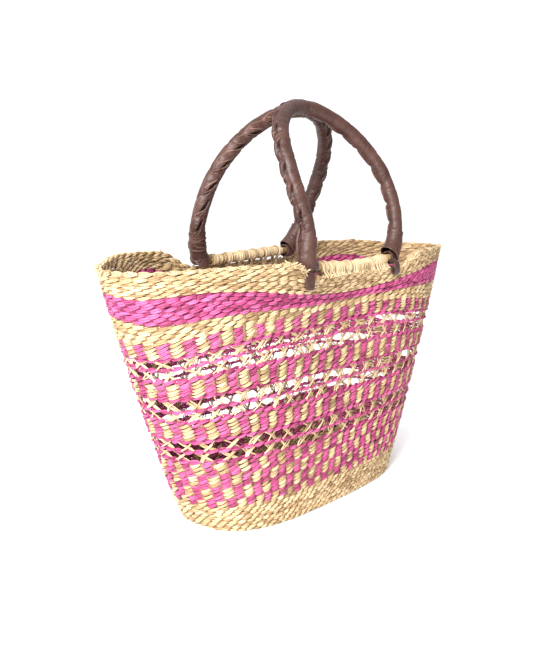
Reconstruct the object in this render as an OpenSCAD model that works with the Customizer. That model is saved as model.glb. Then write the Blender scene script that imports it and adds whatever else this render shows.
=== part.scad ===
// Woven market basket: a flared, boat-shaped body of twined grass rows with open lace bands, a straw-wound bar
// lashed along each long side of the rim, and an arched leather-bound handle hinged on each bar.
// Millimetres. Origin at the bottom centre, +X along the length, +Z up, the front side faces -Y.

/* [Body] */
// Length of the rim, end to end
rim_length = 450; // [420:5:480]
// Width of the rim before its waist
rim_width = 161; // [157:1:166]
// Length of the base
base_length = 252; // [230:2:300]
// Width of the base
base_width = 104; // [90:2:116]
// Nominal height of the woven wall
body_height = 218; // [212:1:225]
// Thickness of the woven wall
wall = 5; // [4:0.5:6]
// Thickness of the base panel
base_thick = 5; // [4:0.5:8]
// How fast the ends flare, 1 is a straight line
len_flare = 0.86; // [0.7:0.01:1.2]
// How fast the sides flare, 1 is a straight line
wid_flare = 1.16; // [1:0.02:1.5]
// Squareness of the base outline, 2 is an ellipse
base_square = 3.1; // [2.2:0.05:3.5]
// Squareness of the rim outline, 2 is an ellipse
rim_square = 2.15; // [2.05:0.05:2.4]
// Pinch of the rim between the handles, as a share of its width
waist = 0.19; // [0.16:0.01:0.2]

/* [Rim line] */
// Height of the rim between the handle feet
rim_mid_z = 207; // [203:1:207]
// Height of the rim beside the handles
rim_shoulder_z = 221; // [214:1:226]
// How far the rim falls again at the two ends
end_drop = 3; // [0:1:10]
// Height of the folded border on the rim
border_height = 4.5; // [3:0.5:6]
// How far the border stands out from the wall
border_lip = 0.7; // [0.3:0.1:1]

/* [Bars] */
// Radius of the cane inside each bar
bar_radius = 3.4; // [3:0.1:3.8]
// Radius over the straw winding
winding_radius = 6; // [5.6:0.1:6.2]
// Distance of the bars from the middle plane
bar_y = 58.5; // [57.5:0.5:59.5]
// Height of the bar axis
bar_z = 214.5; // [214.5:0.5:217]

/* [Handles] */
// Radius of the arch on its centre line
arch_radius = 81; // [78:1:84]
// Height of the arch's centre above the bar
arch_rise = 49.5; // [46:0.5:53]
// Radius of the leather wrap
leather_radius = 7; // [6.4:0.1:7]
// Radius of the grass core
core_radius = 5; // [4:0.1:5.4]
// How far the lean of the feet alone would carry the top inward
lean_foot = 8; // [4:1:10]
// How much further the legs' inward curve carries the top
lean_top = 41; // [36:1:42]
// How far the top sways along the bar
sway = 12; // [0:1:14]
// Radial clearance between the bar and the leather loop
loop_clearance = 0.06; // [0.02:0.01:0.1]
// Radius of the leather loop round the bar
loop_radius = 6.2; // [5.6:0.1:6.4]
// Width of the leather loop along the bar
loop_width = 15; // [12:0.5:16]

/* [Hidden] */
$fn = 48;

// facets round every woven ring
ring_steps = 84;
// how sharply the rows arch up along the long sides
arch_power = 4;
// the flat stretch of the rim under each bar, and where its rise ends
flat_half = 76;
rise_length = 32;
// where the drop to the ends begins
drop_start = 165;
drop_length = 60;
waist_length = 90;
corner_lift = 4.3;
end_lift = 2.6;

// row levels as a share of the wall height: at the ends, then in the middle of the long sides
lv_foot = [0.112, 0.120];
lv_check = [0.298, 0.300];
lv_lace1a = [0.308, 0.312];
lv_lace1b = [0.337, 0.343];
lv_lace2a = [0.351, 0.358];
lv_lace2b = [0.378, 0.395];
lv_col1a = [0.394, 0.414];
lv_col1b = [0.455, 0.479];
lv_lace3a = [0.470, 0.497];
lv_lace3b = [0.497, 0.537];
lv_lace4a = [0.509, 0.549];
lv_lace4b = [0.543, 0.589];
lv_col2a = [0.556, 0.601];
lv_col2b = [0.607, 0.675];
lv_lace5a = [0.626, 0.689];
lv_lace5b = [0.655, 0.733];
lv_lace6a = [0.667, 0.748];
lv_lace6b = [0.690, 0.781];
lv_col3a = [0.702, 0.797];
lv_col3b = [0.755, 0.845];
lv_shoulder = [0.813, 0.866];
lv_pink = [0.903, 0.886];

foot_x = sqrt(arch_radius * arch_radius - arch_rise * arch_rise);
foot_angle = -atan2(arch_rise, foot_x);
arch_sweep = 180 - 2 * foot_angle;
arch_height = arch_rise + arch_radius;
// the handle's tubes are swept through rings at even steps of the arch, numbered from foot to foot
handle_rings = 36;
handle_sides = 16;
neck_ring = 1;
cuff_ring = 2;
cuff_end_ring = 4;
lacing_ring = 5;
cuff_radius = leather_radius + 1.3;
lacing_height = 1.2;
tie_radius = winding_radius + 1;
tie_width = 4;
tie_depth = 3.5;
tie_inset = 1.2;
tie_foot = 3;
// bare cane on each side of a loop
loop_gap = 5.5;
winding_half = foot_x - loop_width / 2 - loop_gap;
bar_half = foot_x + loop_width / 2 + loop_gap;
// the lashings at even steps, the outer ones a little in from the winding's ends
tie_count = 6;
tie_half = winding_half - 5;
tie_step = 2 * tie_half / (tie_count - 1);
tail_width = 8;
tail_thick = 1.6;
tail_top = rim_mid_z - 0.5;
tail_length = 13;

straw = [0.93, 0.83, 0.60];
pink = [0.86, 0.22, 0.58];
mixed = [0.90, 0.52, 0.60];
hide = [0.30, 0.20, 0.18];
cane = [0.78, 0.66, 0.44];

// signed power, for the rounded-box outline
function spow(v, p) = sign(v) * pow(abs(v), p);

// smooth step from 0 to 1
function smooth(s) = s <= 0 ? 0 : s >= 1 ? 1 : s * s * (3 - 2 * s);

// the wall's surface: outline and height at angle u and share t of the height
function half_len(t) = base_length / 2 + (rim_length - base_length) / 2 * pow(t, len_flare);
function half_wid(t) = base_width / 2 + (rim_width - base_width) / 2 * pow(t, wid_flare);
function squareness(t) = base_square + (rim_square - base_square) * t;
function full_z(u) = body_height + end_lift * cos(2 * u) - corner_lift * cos(4 * u);
function wall_x(u, t, grow) = (half_len(t) + grow) * spow(cos(u), 2 / squareness(t));
function pinch(x, t) = 1 - waist * t * exp(-pow(x / waist_length, 2));
function wall_y(u, t, grow) =
  (half_wid(t) * pinch(wall_x(u, t, 0), t) + grow) * spow(sin(u), 2 / squareness(t));

// a point of the wall at height z, moved out by grow
function wall_point(u, z, grow) =
  let (t = z / full_z(u)) [wall_x(u, t, grow), wall_y(u, t, grow), z];

// height of the rim's top at angle u
function rim_z(u) =
  let (x = abs(wall_x(u, 1, 0)))
    rim_mid_z
    + (rim_shoulder_z - rim_mid_z) * smooth((x - flat_half) / rise_length)
    - end_drop * smooth((x - drop_start) / drop_length);

// distance of the border's outer face from the middle plane, at distance x from the middle of a long side
function outer_face(x) =
  let (u = 360 - acos(pow(abs(x) / (rim_length / 2), rim_square / 2)))
    border_lip - wall_y(u, rim_mid_z / full_z(u), 0);

// height of a row level at angle u
function row_z(lv, u) = full_z(u) * (lv[0] + (lv[1] - lv[0]) * pow(abs(sin(u)), arch_power));

function ring_u(i) = 360 * i / ring_steps;
function ring_points(zs, outer, inner) = concat(
  [for (i = [0 : ring_steps - 1]) wall_point(ring_u(i), zs[i], outer)],
  [for (i = [0 : ring_steps - 1]) wall_point(ring_u(i), zs[i], inner)]
);

// closed ring between two lists of heights
module woven_ring(low, high, outer = 0, inner = -wall) {
  n = ring_steps;
  points = concat(ring_points(low, outer, inner), ring_points(high, outer, inner));
  faces = [
    for (i = [0 : n - 1])
      let (
        j = (i + 1) % n,
        a = i,
        b = j,
        c = n + i,
        d = n + j,
        e = 2 * n + i,
        f = 2 * n + j,
        g = 3 * n + i,
        h = 3 * n + j
      )
      each [
        [a, e, f], [a, f, b],
        [c, h, g], [c, d, h],
        [e, g, h], [e, h, f],
        [a, d, c], [a, b, d],
      ]
  ];
  polyhedron(points = points, faces = faces, convexity = 6);
}

function row_heights(lv) = [for (i = [0 : ring_steps - 1]) row_z(lv, ring_u(i))];
function rim_heights(below) = [for (i = [0 : ring_steps - 1]) rim_z(ring_u(i)) - below];
floor_heights = [for (i = [0 : ring_steps - 1]) base_thick];

module band(low_level, high_level) {
  woven_ring(row_heights(low_level), row_heights(high_level));
}

module base_panel() {
  color(straw)
    linear_extrude(height = base_thick)
      polygon([
        for (i = [0 : ring_steps - 1])
          let (p = wall_point(ring_u(i), base_thick, 0)) [p[0], p[1]]
      ]);
}

module foot_band() {
  color(straw)
    woven_ring(floor_heights, row_heights(lv_foot));
}

module checker_band() {
  color(mixed)
    band(lv_foot, lv_check);
}

module divider_row_1() {
  color(pink)
    band(lv_check, lv_lace1a);
}

module lace_band_1() {
  color(straw)
    band(lv_lace1a, lv_lace1b);
}

module divider_row_2() {
  color(pink)
    band(lv_lace1b, lv_lace2a);
}

module lace_band_2() {
  color(straw)
    band(lv_lace2a, lv_lace2b);
}

module divider_row_3() {
  color(pink)
    band(lv_lace2b, lv_col1a);
}

module column_band_1() {
  color(mixed)
    band(lv_col1a, lv_col1b);
}

module divider_row_4() {
  color(pink)
    band(lv_col1b, lv_lace3a);
}

module lace_band_3() {
  color(straw)
    band(lv_lace3a, lv_lace3b);
}

module divider_row_5() {
  color(pink)
    band(lv_lace3b, lv_lace4a);
}

module lace_band_4() {
  color(straw)
    band(lv_lace4a, lv_lace4b);
}

module divider_row_6() {
  color(pink)
    band(lv_lace4b, lv_col2a);
}

module column_band_2() {
  color(mixed)
    band(lv_col2a, lv_col2b);
}

module divider_row_7() {
  color(pink)
    band(lv_col2b, lv_lace5a);
}

module lace_band_5() {
  color(straw)
    band(lv_lace5a, lv_lace5b);
}

module divider_row_8() {
  color(pink)
    band(lv_lace5b, lv_lace6a);
}

module lace_band_6() {
  color(straw)
    band(lv_lace6a, lv_lace6b);
}

module divider_row_9() {
  color(pink)
    band(lv_lace6b, lv_col3a);
}

module column_band_3() {
  color(mixed)
    band(lv_col3a, lv_col3b);
}

module shoulder_band() {
  color(straw)
    band(lv_col3b, lv_shoulder);
}

module pink_band() {
  color(pink)
    band(lv_shoulder, lv_pink);
}

module rim_band() {
  color(straw)
    woven_ring(row_heights(lv_pink), rim_heights(border_height));
}

module rim_border() {
  color(straw)
    woven_ring(rim_heights(border_height), rim_heights(0), border_lip, -wall - border_lip);
}

// turns a part of the front side into the same part of the back side
module to_back() {
  rotate([0, 0, 180])
    children();
}

// cylinder along X from x0 to x1
module x_rod(x0, x1, r) {
  translate([x0, 0, 0])
    rotate([0, 90, 0])
      cylinder(h = x1 - x0, r = r);
}

// puts the bar's axis in place
module at_bar() {
  translate([0, -bar_y, bar_z])
    children();
}

module bar_cane() {
  color(cane)
    at_bar()
      x_rod(-bar_half, bar_half, bar_radius);
}

// straw wound round the cane between the two loops
module bar_winding() {
  color(straw)
    at_bar()
      difference() {
        x_rod(-winding_half, winding_half, winding_radius);
        x_rod(-bar_half, bar_half, bar_radius);
      }
}

// straw lashings that stand on the rim and hold the bar
module bar_ties() {
  color(straw)
    for (i = [0 : tie_count - 1])
      at_bar()
        bar_tie(-tie_half + i * tie_step);
}

module bar_tie(x) {
  reach = outer_face(x) - bar_y - 2.5;
  difference() {
    union() {
      x_rod(x - tie_width / 2, x + tie_width / 2, tie_radius);
      translate([x - tie_width / 2, -tie_depth, rim_mid_z - bar_z])
        cube([tie_width, tie_depth + tie_inset, bar_z - rim_mid_z]);
      translate([x - tie_width / 2, -reach, rim_mid_z - bar_z])
        cube([tie_width, reach + tie_inset, tie_foot]);
    }
    x_rod(x - tie_width, x + tie_width, winding_radius);
  }
}

// leather strap ends that hang down outside the rim below each foot
module strap_tails() {
  color(hide)
    for (s = [-1, 1])
      strap_tail(s * foot_x);
}

module strap_tail(x) {
  translate([x - tail_width / 2, -outer_face(x) - tail_thick + 0.05, tail_top - tail_length])
    cube([tail_width, tail_thick, tail_length]);
}

// centre line of a handle from the middle of its bar: across, inward and up, at angle g of the arch
function arch_point(g) =
  let (h = arch_rise + arch_radius * sin(g), s = h / arch_height)
    [arch_radius * cos(g) - sway * s * s, lean_foot * s + lean_top * s * s, h];

function unit(v) = v / norm(v);

// the points of ring i, with radius r, starting on the outside of the arch
function handle_ring(i, r) =
  let (
    g = foot_angle + i * arch_sweep / handle_rings,
    t = unit(arch_point(g + 1) - arch_point(g - 1)),
    a = unit(cross([0, 1, 0], t)),
    b = cross(t, a)
  )
  [
    for (k = [0 : handle_sides - 1])
      let (w = (k + 0.5) * 360 / handle_sides)
        arch_point(g) + r * (cos(w) * a + sin(w) * b)
  ];

// faces of the side of a tube of n stretches and m sides, whose points start at number p
function side_faces(p, n, m, out) = [
  for (i = [0 : n - 1])
    for (k = [0 : m - 1])
      let (
        a = p + i * m + k,
        b = p + i * m + (k + 1) % m
      )
      each out ? [[a, a + m, b + m], [a, b + m, b]] : [[a, b + m, a + m], [a, b, b + m]]
];

// faces that close the end of a hollow tube, between outer points from p and inner points from q
function end_faces(p, q, m, start) = [
  for (k = [0 : m - 1])
    let (j = (k + 1) % m)
      each start
        ? [[p + k, p + j, q + j], [p + k, q + j, q + k]]
        : [[p + k, q + j, p + j], [p + k, q + k, q + j]]
];

// solid tube along the handle, from ring i0 to ring i1
module solid_wrap(i0, i1, r) {
  m = handle_sides;
  n = i1 - i0;
  polyhedron(
    points = [for (i = [i0 : i1]) each handle_ring(i, r)],
    faces = concat(
      side_faces(0, n, m, true),
      [[for (k = [0 : m - 1]) k]],
      [[for (k = [0 : m - 1]) n * m + m - 1 - k]]
    ),
    convexity = 6
  );
}

// hollow tube along the handle, from ring i0 to ring i1
module hollow_wrap(i0, i1, outer, inner) {
  m = handle_sides;
  n = i1 - i0;
  q = (n + 1) * m;
  polyhedron(
    points = [
      for (r = [outer, inner])
        for (i = [i0 : i1])
          each handle_ring(i, r)
    ],
    faces = concat(
      side_faces(0, n, m, true),
      side_faces(q, n, m, false),
      end_faces(0, q, m, true),
      end_faces(n * m, q + n * m, m, false)
    ),
    convexity = 6
  );
}

module handle_core() {
  color(straw)
    at_bar()
      solid_wrap(neck_ring, handle_rings - neck_ring, core_radius);
}

module handle_leather() {
  color(hide)
    at_bar()
      hollow_wrap(neck_ring, handle_rings - neck_ring, leather_radius, core_radius);
}

// the four corners of the laced seam at ring i: on the wrap's inner facet, then raised from it
function lacing_ring_points(i) =
  let (
    k = handle_sides / 2,
    low = handle_ring(i, leather_radius),
    high = handle_ring(i, leather_radius + lacing_height)
  )
  [low[k - 1], low[k], high[k], high[k - 1]];

// raised laced seam along the inside of the arch, between the cuffs
module handle_lacing() {
  m = 4;
  n = handle_rings - 2 * lacing_ring;
  color(hide)
    at_bar()
      polyhedron(
        points = [for (i = [lacing_ring : handle_rings - lacing_ring]) each lacing_ring_points(i)],
        faces = concat(
          side_faces(0, n, m, false),
          [[3, 2, 1, 0]],
          [[for (k = [0 : m - 1]) n * m + k]]
        ),
        convexity = 6
      );
}

// flared sleeve over the wrap at each foot
module handle_cuffs() {
  color(hide)
    at_bar() {
      hollow_wrap(cuff_ring, cuff_end_ring, cuff_radius, leather_radius);
      hollow_wrap(handle_rings - cuff_end_ring, handle_rings - cuff_ring, cuff_radius, leather_radius);
    }
}

// leather loop round the bar with the neck that joins it to the wrap
module handle_loops() {
  color(hide)
    at_bar() {
      handle_loop(foot_x, 0, neck_ring);
      handle_loop(-foot_x, handle_rings - neck_ring, handle_rings);
    }
}

module handle_loop(x, i0, i1) {
  difference() {
    union() {
      x_rod(x - loop_width / 2, x + loop_width / 2, loop_radius);
      solid_wrap(i0, i1, leather_radius);
    }
    x_rod(x - 30, x + 30, bar_radius + loop_clearance);
  }
}

module front_bar_cane() {
  bar_cane();
}

module front_bar_winding() {
  bar_winding();
}

module front_bar_ties() {
  bar_ties();
}

module front_strap_tails() {
  strap_tails();
}

module back_bar_cane() {
  to_back()
    bar_cane();
}

module back_bar_winding() {
  to_back()
    bar_winding();
}

module back_bar_ties() {
  to_back()
    bar_ties();
}

module back_strap_tails() {
  to_back()
    strap_tails();
}

module front_handle_core() {
  handle_core();
}

module front_handle_leather() {
  handle_leather();
}

module front_handle_lacing() {
  handle_lacing();
}

module front_handle_cuffs() {
  handle_cuffs();
}

module front_handle_loops() {
  handle_loops();
}

module back_handle_core() {
  to_back()
    handle_core();
}

module back_handle_leather() {
  to_back()
    handle_leather();
}

module back_handle_lacing() {
  to_back()
    handle_lacing();
}

module back_handle_cuffs() {
  to_back()
    handle_cuffs();
}

module back_handle_loops() {
  to_back()
    handle_loops();
}

base_panel();
foot_band();
checker_band();
divider_row_1();
lace_band_1();
divider_row_2();
lace_band_2();
divider_row_3();
column_band_1();
divider_row_4();
lace_band_3();
divider_row_5();
lace_band_4();
divider_row_6();
column_band_2();
divider_row_7();
lace_band_5();
divider_row_8();
lace_band_6();
divider_row_9();
column_band_3();
shoulder_band();
pink_band();
rim_band();
rim_border();
front_bar_cane();
front_bar_winding();
front_bar_ties();
front_strap_tails();
back_bar_cane();
back_bar_winding();
back_bar_ties();
back_strap_tails();
front_handle_core();
front_handle_leather();
front_handle_lacing();
front_handle_cuffs();
front_handle_loops();
back_handle_core();
back_handle_leather();
back_handle_lacing();
back_handle_cuffs();
back_handle_loops();
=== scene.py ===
# Woven market basket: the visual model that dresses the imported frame.
# Lengths are millimetres until the mesh is made; +X along the basket, +Z up, the front side faces -Y.
import math

import bpy
import numpy as np
from mathutils import Matrix, Vector


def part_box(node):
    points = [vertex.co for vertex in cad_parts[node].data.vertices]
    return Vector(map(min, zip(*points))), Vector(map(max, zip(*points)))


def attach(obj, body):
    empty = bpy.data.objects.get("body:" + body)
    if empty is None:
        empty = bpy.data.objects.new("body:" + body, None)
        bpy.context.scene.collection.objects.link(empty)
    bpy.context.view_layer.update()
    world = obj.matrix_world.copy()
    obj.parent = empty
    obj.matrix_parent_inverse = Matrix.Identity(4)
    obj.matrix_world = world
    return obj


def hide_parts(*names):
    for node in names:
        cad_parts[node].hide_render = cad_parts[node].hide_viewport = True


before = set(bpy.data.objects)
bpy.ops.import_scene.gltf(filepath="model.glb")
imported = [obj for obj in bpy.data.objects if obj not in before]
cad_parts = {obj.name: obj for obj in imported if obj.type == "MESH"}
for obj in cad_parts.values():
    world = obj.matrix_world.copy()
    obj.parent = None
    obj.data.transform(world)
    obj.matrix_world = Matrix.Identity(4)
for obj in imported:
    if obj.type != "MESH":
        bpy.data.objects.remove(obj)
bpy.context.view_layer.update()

MM = 0.001
SEED = 20
rng = np.random.default_rng(SEED)

# ---- driving dimensions, the same as the CAD's ----
RIM_LENGTH = 450.0
RIM_WIDTH = 161.0
BASE_LENGTH = 252.0
BASE_WIDTH = 104.0
BODY_HEIGHT = 218.0
WALL = 5.0
LEN_FLARE = 0.86
WID_FLARE = 1.16
BASE_SQUARE = 3.1
RIM_SQUARE = 2.15
WAIST = 0.19
WAIST_LENGTH = 90.0
END_LIFT = 2.6
CORNER_LIFT = 4.3
RIM_MID_Z = 207.0
RIM_SHOULDER_Z = 221.0
END_DROP = 3.0
FLAT_HALF = 64.0
RISE_LENGTH = 44.0
DROP_START = 165.0
DROP_LENGTH = 60.0
BORDER_HEIGHT = 4.5

# ---- places that come from the frame ----
bar_lo, bar_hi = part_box("front_bar_cane")
BAR_Y = -(bar_lo.y + bar_hi.y) / 2 / MM
BAR_Z = (bar_lo.z + bar_hi.z) / 2 / MM
BAR_RADIUS = (bar_hi.z - bar_lo.z) / 2 / MM
CANE_INSET = 7.0
CANE_HALF = bar_hi.x / MM - CANE_INSET
WOUND_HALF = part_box("front_bar_winding")[1].x / MM
TIE_INSET = 5.0
TIE_HALF = WOUND_HALF - TIE_INSET
BASE_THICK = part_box("base_panel")[1].z / MM

# ---- where the real basket is uneven; angles are in degrees round the wall ----
# the rim swells up a little at the back left
SWELL_AT = 133.0
SWELL_WIDTH = 18.0
SWELL_RISE = 3.5
# the stitches are longer near the middle of each long side
LOOSE_AT = 84.0
LOOSE_WIDTH = 13.0
LOOSE_SHARE = 0.16
# seen from outside, the rows of a long side arch up over a longer stretch on its left than on its right
ARCH_LEFT = 3.0
ARCH_RIGHT = 6.0
# the rim's straw ends lie lower beside the handles' feet
FOOT_DIP = 2.1
FOOT_DIP_HALF = 13.0
# the longest frays, left of the front left foot
TUFT_X = 93.0

# ---- weave ----
ROW_SAMPLES = 7
SIDES = 8
FACES_PER_PIECE = 95000
TWIST_RADIUS = 1.35
STRAND_HALF_THICK = 0.95
STRAND_SQUARE = 2.2
# how far a strand slants across its row, as a share of the row's height
FLAT_SLANT = 0.20
SINGLE_SLANT = 0.32
MIXED_SLANT = 0.42
# share of a strand's height that is left where it dives between the stakes
DIVE_HEIGHT = 0.52
# tones run from 0, dark, to 1, light
# painted shade: the share of its tone a strand keeps where it dives between the stakes
DIVE_PAINTED_SHADE = 0.18
# painted shade: the stakes get a dark tone so the gaps between the strands look shaded
STAKE_PAINTED_SHADE = 0.06
# painted shade on each strand's two edges, which draws dark lines between the rows
EDGE_SHADE = 0.34
# rows are a little taller than their pitch, and a single row beside the lace is lower
ROW_FILL = 1.04
SINGLE_FILL = 0.82
ROW_DRIFT = 0.10
ROW_WANDER = 0.16
MIN_PITCH = 0.5
# how much the stitches of a strand differ, as a standard deviation
JITTER = {"depth": 0.18, "height": 0.07, "width": 0.12, "thickness": 0.10, "tone": 0.26,
          "split": 0.09, "lift": 0.12, "fibre_tone": 0.10}
STAKE_HALF_THICK = 0.6
STAKE_HALF_WIDE = 3.9
FLOOR_GAP = 1.0
DOWN = np.array([0.0, 0.0, -1.0])
BASE_STITCH = 10.0
BASE_ROW = 3.5
RIM_LOOPS = 150
RIM_SHARE = 0.97

# ---- handles ----
FOOT_X = 64.2
HAND_RADIUS = 6.7
SLOT_PITCH = 18.5
# the leather wrap starts this far along the handle, inside the boot
FOOT_TUCK = 9.0


# ---- small maths ----
def spow(v, p):
    return np.sign(v) * np.abs(v) ** p


def smooth(s):
    s = np.clip(s, 0, 1)
    return s * s * (3 - 2 * s)


def unit(v):
    return v / np.maximum(np.linalg.norm(v, axis=-1, keepdims=True), 1e-9)


def bell(x, width):
    return np.exp(-((x / width) ** 2))


def signed(angle):
    """The same angle, from -pi to pi."""
    return (angle + np.pi) % (2 * np.pi) - np.pi


def course(ring):
    """Direction of a closed line at each of its points."""
    return unit(np.roll(ring, -1, 0) - np.roll(ring, 1, 0))


def vary(amount):
    """A random amount, up or down, with this standard deviation."""
    return rng.normal(0, amount)


def wobble(count, amount, width, closed=True):
    """Smooth random values, about width samples across each bump."""
    knots = max(4, int(round(count / width)))
    k = rng.normal(0, amount, knots)
    k = np.append(k, k[0] if closed else vary(amount))
    x = np.linspace(0, knots, count, endpoint=not closed)
    i = np.minimum(x.astype(int), knots - 1)
    f = smooth(x - i)
    return k[i] * (1 - f) + k[i + 1] * f


# ---- the wall's surface ----
def half_len(t):
    return BASE_LENGTH / 2 + (RIM_LENGTH - BASE_LENGTH) / 2 * np.maximum(t, 0) ** LEN_FLARE


def half_wid(t):
    return BASE_WIDTH / 2 + (RIM_WIDTH - BASE_WIDTH) / 2 * np.maximum(t, 0) ** WID_FLARE


def full_z(u):
    return BODY_HEIGHT + END_LIFT * np.cos(2 * u) - CORNER_LIFT * np.cos(4 * u)


def wall(u, t, grow=0.0):
    """Points of the wall's outer surface at angle u and share t of the height, moved out by grow."""
    square = BASE_SQUARE + (RIM_SQUARE - BASE_SQUARE) * t
    x0 = half_len(t) * spow(np.cos(u), 2 / square)
    x = x0 + grow * spow(np.cos(u), 2 / square)
    pinch = 1 - WAIST * t * bell(x0, WAIST_LENGTH)
    y = (half_wid(t) * pinch + grow) * spow(np.sin(u), 2 / square)
    return np.stack([x, y, full_z(u) * t], -1)


def outward(u, t):
    """Direction straight through the wall."""
    return unit(wall(u, t, 0.0) - wall(u, t, -WALL))


def rim_level(u):
    """Height of the rim's top as a share of the wall's height."""
    x = np.abs(wall(u, np.ones_like(u))[..., 0])
    z = RIM_MID_Z + (RIM_SHOULDER_Z - RIM_MID_Z) * smooth((x - FLAT_HALF) / RISE_LENGTH)
    z = z - END_DROP * smooth((x - DROP_START) / DROP_LENGTH)
    z = z + SWELL_RISE * bell(turned(u, SWELL_AT), SWELL_WIDTH)
    return z / full_z(u)


def arching(u):
    """How far the rows have risen: 0 at the basket's ends, 1 in the middle of its long sides."""
    left_half = np.cos(u) * np.sign(np.sin(u)) > 0
    return np.abs(np.sin(u)) ** np.where(left_half, ARCH_LEFT, ARCH_RIGHT)


def turned(u, middle):
    """Degrees from middle round to u, from -180 to 180."""
    return (np.degrees(u) - middle + 180) % 360 - 180


def level(pair, u, rises=()):
    """A level from pair[0] at the ends to pair[1] in the middle, with bumps of its own."""
    t = pair[0] + (pair[1] - pair[0]) * arching(u)
    for middle, width, height in rises:
        t = t + height * bell(turned(u, middle), width)
    return t


def stake_angles(count, samples, level_t, phase=0.0):
    """Angles round the wall at level_t, at `samples` points in each of `count` stitches."""
    fine = np.linspace(0, 2 * np.pi, 6001)
    p = wall(fine, np.full_like(fine, level_t))
    step = np.linalg.norm(np.diff(p, axis=0), axis=1)
    mid = (fine[:-1] + fine[1:]) / 2
    slack = 1 + LOOSE_SHARE * bell(np.degrees(mid) % 180 - LOOSE_AT, LOOSE_WIDTH)
    arc = np.concatenate([[0], np.cumsum(step / slack)])
    s = (np.arange(count * samples) / samples + phase) / count * arc[-1]
    return np.interp(s % arc[-1], arc, fine)


# ---- mesh making ----
def new_object(name, data):
    made = bpy.data.objects.new(name, data)
    bpy.context.scene.collection.objects.link(made)
    return made


def make_mesh(name, parts, material):
    verts, quads, strand, tone = zip(*parts)
    starts = np.cumsum([0] + [len(v) for v in verts])
    quads = np.concatenate([q + start for q, start in zip(quads, starts)]).astype(np.int32)
    verts = np.concatenate(verts) * MM
    mesh = bpy.data.meshes.new(name)
    mesh.vertices.add(len(verts))
    mesh.vertices.foreach_set("co", verts.astype(np.float32).ravel())
    mesh.loops.add(quads.size)
    mesh.loops.foreach_set("vertex_index", quads.ravel())
    mesh.polygons.add(len(quads))
    mesh.polygons.foreach_set("loop_start", np.arange(len(quads), dtype=np.int32) * 4)
    mesh.polygons.foreach_set("use_smooth", np.ones(len(quads), dtype=bool))
    for label, kind, field, values in (("strand", "FLOAT_VECTOR", "vector", strand),
                                       ("tone", "FLOAT", "value", tone)):
        values = np.concatenate(values).astype(np.float32).ravel()
        mesh.attributes.new(label, kind, "POINT").data.foreach_set(field, values)
    mesh.update()
    mesh.validate()
    mesh.materials.append(material)
    return mesh


class Pile:
    """Collects tubes and strips, and makes them into one piece."""

    def __init__(self):
        self.parts = []

    def add(self, verts, quads, strand, tone):
        self.parts.append((verts, quads, strand, tone))

    def make(self, name, material, slot, nodes=(), body="basket"):
        """One piece, or several numbered ones where one would be too heavy to export."""
        groups, faces = [[]], 0
        for part in self.parts:
            count = len(part[1])
            if groups[-1] and faces + count > FACES_PER_PIECE:
                groups.append([])
                faces = 0
            groups[-1].append(part)
            faces += count
        for number, group in enumerate(groups, 1):
            label = name if len(groups) == 1 else f"{name}_{number}"
            piece = new_object(label, make_mesh(label, group, material))
            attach(piece, body)
            if nodes:
                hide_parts(*nodes)


def path_length(points):
    """Distance along the points, from the first to each of them."""
    return np.concatenate([[0], np.cumsum(np.linalg.norm(np.diff(points, axis=0), axis=1))])


def tube(centre, a, b, ha, hb, sides=SIDES, closed=False, along=None, tone=None, shaded=0.0, square=2.0):
    """A tube round centre points, half-size ha along a and hb along b.

    along and tone go to the material: the place along the strand and how light it is there. Shaded paints
    shade on the tube's two edges, and a square above 2 flattens its sides."""
    n = len(centre)
    th = np.arange(sides) * 2 * np.pi / sides
    c, s = spow(np.cos(th), 2 / square), spow(np.sin(th), 2 / square)
    off_a = np.multiply.outer(np.full(n, ha), c)
    off_b = np.multiply.outer(np.full(n, hb), s)
    verts = centre[:, None] + off_a[..., None] * a[:, None] + off_b[..., None] * b[:, None]
    i = np.arange(n if closed else n - 1)[:, None]
    k = np.arange(sides)[None]
    j, m = (i + 1) % n, (k + 1) % sides
    quads = np.stack([i * sides + k, i * sides + m, j * sides + m, j * sides + k], -1).reshape(-1, 4)
    along = path_length(centre) if along is None else along
    strand = np.stack([np.repeat(along, sides), off_a.ravel(), off_b.ravel()], -1)
    tone = np.full(n, rng.random() if tone is None else tone)
    edge = 1 - shaded * np.abs(np.sin(th)) ** 4
    return verts.reshape(-1, 3), quads, strand, np.multiply.outer(tone, edge).ravel()


def tube_frame(centre, face, closed=False):
    """Directions across a tube: a as close as it can be to face, b to its side."""
    d = course(centre) if closed else unit(np.gradient(centre, axis=0))
    a = unit(face - (face * d).sum(-1, keepdims=True) * d)
    return a, np.cross(d, a)


def resample(points, x):
    """The points at shares x, from 0 to 1, of the way through a list of points."""
    points = np.asarray(points, float)
    knots = np.linspace(0, 1, len(points))
    return np.stack([np.interp(x, knots, points[:, i]) for i in range(3)], -1)


def strip(pile, points, face, half_thick, half_wide, taper=2, sides=6, tone=None, samples=14, square=2.0):
    """One loose straw or strap through points, with tapered ends. Its flat side looks along face."""
    x = np.linspace(0, 1, samples)
    centre = resample(points, x)
    for _ in range(2):
        centre[1:-1] = (centre[:-2] + 2 * centre[1:-1] + centre[2:]) / 4
    if np.ndim(face) == 2:
        face = resample(face, x)
    a, b = tube_frame(centre, np.asarray(face, float))
    shape = np.ones(samples)
    for i in range(taper):
        shape[i] = shape[-1 - i] = (i + 0.25) / taper
    along = rng.random() * 500 + x * path_length(centre)[-1]
    pile.add(*tube(centre, a, b, half_thick * shape, half_wide * shape, sides, False, along, tone, 0, square))


def sheet(pile, grid, strand, tone):
    """A surface through a grid of points, closed round its second direction."""
    n, m = grid.shape[:2]
    i, k = np.arange(n - 1)[:, None], np.arange(m)[None]
    j = (k + 1) % m
    quads = np.stack([i * m + k, i * m + j, (i + 1) * m + j, (i + 1) * m + k], -1).reshape(-1, 4)
    tone = np.broadcast_to(tone, (n, m)).ravel()
    pile.add(grid.reshape(-1, 3), quads, strand.reshape(-1, 3), tone)


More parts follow.
